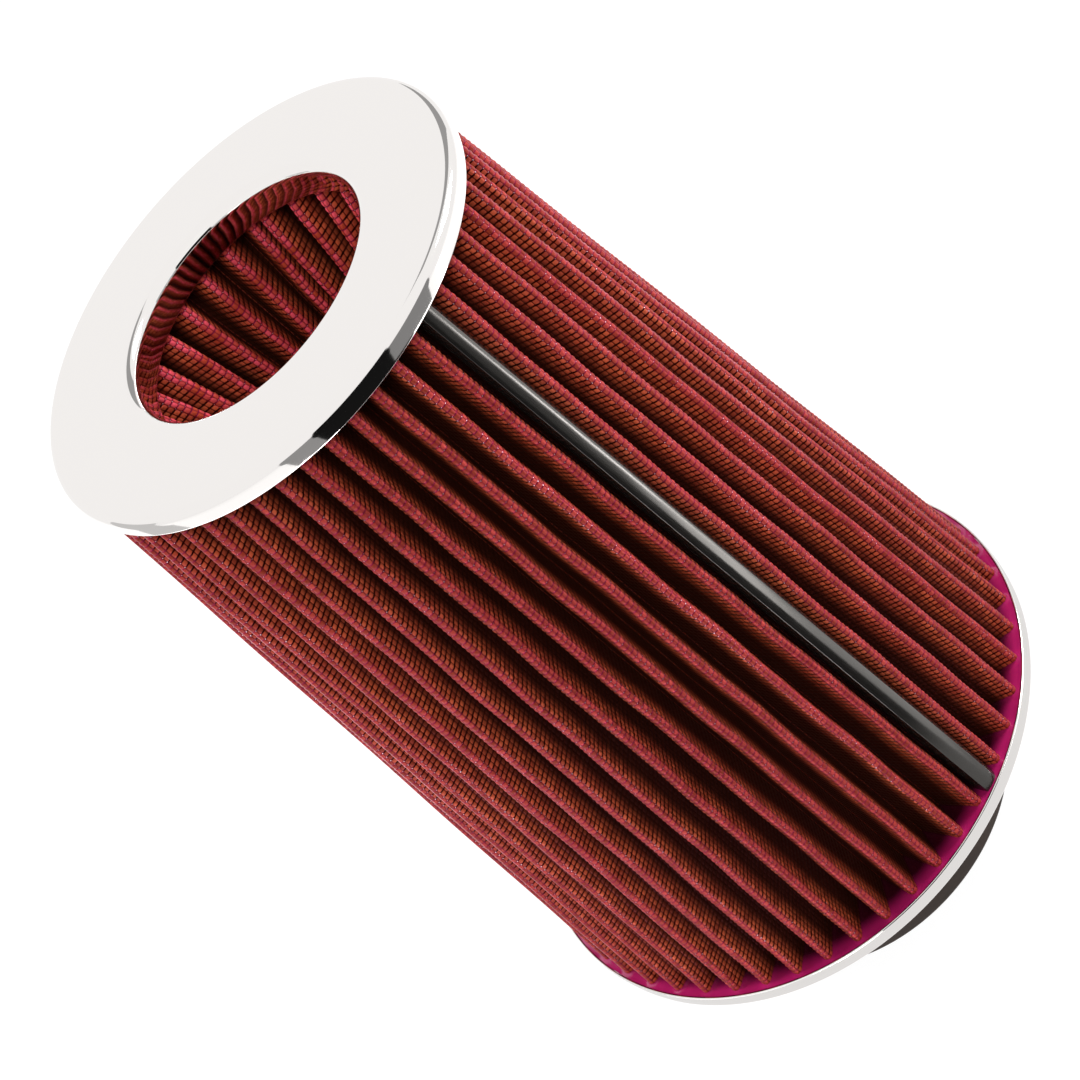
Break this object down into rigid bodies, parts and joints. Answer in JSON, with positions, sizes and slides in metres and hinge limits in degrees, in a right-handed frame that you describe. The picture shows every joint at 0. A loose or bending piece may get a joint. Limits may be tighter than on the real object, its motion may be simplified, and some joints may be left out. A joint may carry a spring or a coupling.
{
  "type": "cone air filter",
  "caption": "Open cone air filter with a pleated outer cone, an inverted pleated inner cone, a chromed cap and base ring, and a rubber slip-on flange.",
  "frame": {"origin": "centre of the flange's end face, which the filter stands on", "axes": "+Z along the filter's axis, from the flange to the cap; -Y through the name strip"},
  "size_m": [0.172, 0.172, 0.2817],
  "materials": {
    "chrome": "polished",
    "potting": "glossy cast urethane",
    "pleats": "oiled cotton gauze behind fine wire cloth",
    "strip": "glossy black",
    "rubber": "smooth moulded"
  },
  "bodies": {
    "root": {"top_cap": "chrome", "top_potting": "potting", "outer_pleats": "pleats", "inner_pleats": "pleats", "inner_end_cap": "rubber", "name_strip": "strip", "base_ring": "chrome", "base_potting": "potting", "flange": "rubber"}
  },
  "joints": []
}
